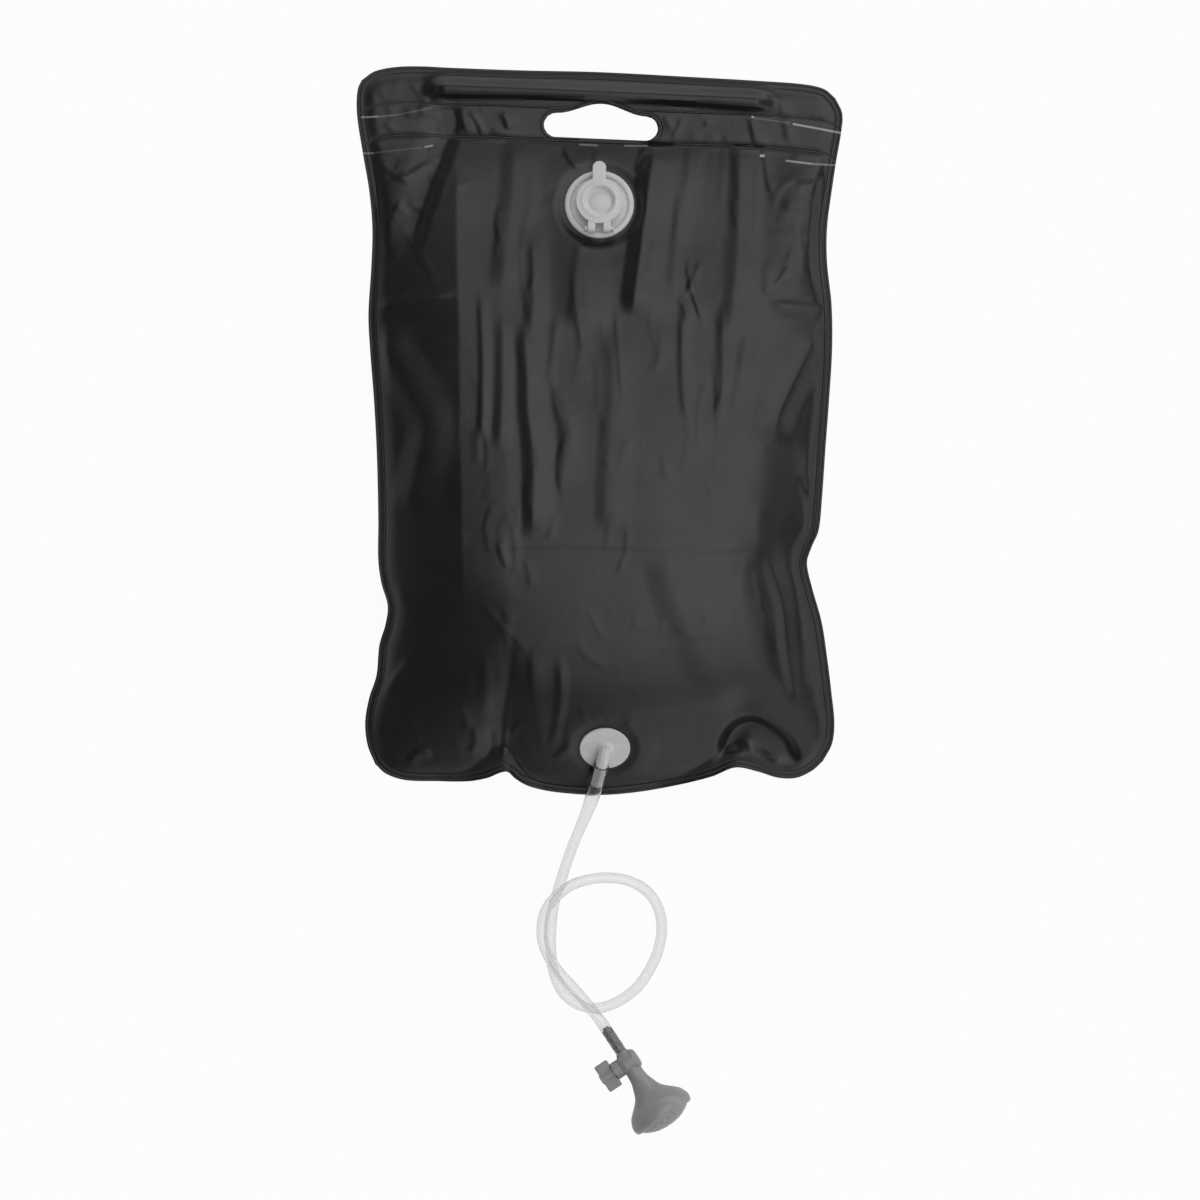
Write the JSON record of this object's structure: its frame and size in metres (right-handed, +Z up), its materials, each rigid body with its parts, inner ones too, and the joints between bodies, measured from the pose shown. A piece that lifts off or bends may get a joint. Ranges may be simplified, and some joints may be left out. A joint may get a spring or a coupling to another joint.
{
  "type": "camp shower bag",
  "caption": "Flat welded film bag with a hem rod, hand hole and hinged filler valve, a clear hose at its lower end and a shower head with a tap.",
  "frame": {"origin": "the middle of the bag and shower head as they lie, at the surface they lie on", "axes": "+Z up off the surface, +Y from the shower head towards the bag's hand hole, +X to the right of the print side seen from above"},
  "size_m": [0.4003, 0.8766, 0.0668],
  "materials": {
    "film": "black soft PVC film with a low sheen",
    "rod": "plain extruded plastic",
    "valve": "moulded soft PVC, light grey",
    "hose": "clear flexible PVC tube",
    "head": "moulded plastic, mid grey, slight gloss",
    "seal": "black rubber"
  },
  "bodies": {
    "bag": {"front_panel": "film", "rear_panel": "film", "hem_rod": "rod", "filler_flange": "valve", "outlet_flange": "valve", "hose": "hose", "head_body": "head", "rose_plate": "head"},
    "cap": {"filler_cap": "valve"},
    "tap": {"tap_spindle": "head", "tap_ring_outer": "seal", "tap_ring_inner": "seal"}
  },
  "joints": [
    {"name": "filler_cap_hinge", "type": "hinge", "parent": "bag", "child": "cap", "pos_m": [0, 0.30248, 0.02807], "axis": [1, 0, 0], "range_deg": [0, 150]},
    {"name": "tap_turn", "type": "hinge", "parent": "bag", "child": "tap", "pos_m": [0.02359, -0.37981, 0.01977], "axis": [-0.8286, -0.5598, 0], "range_deg": [0, 90]}
  ]
}
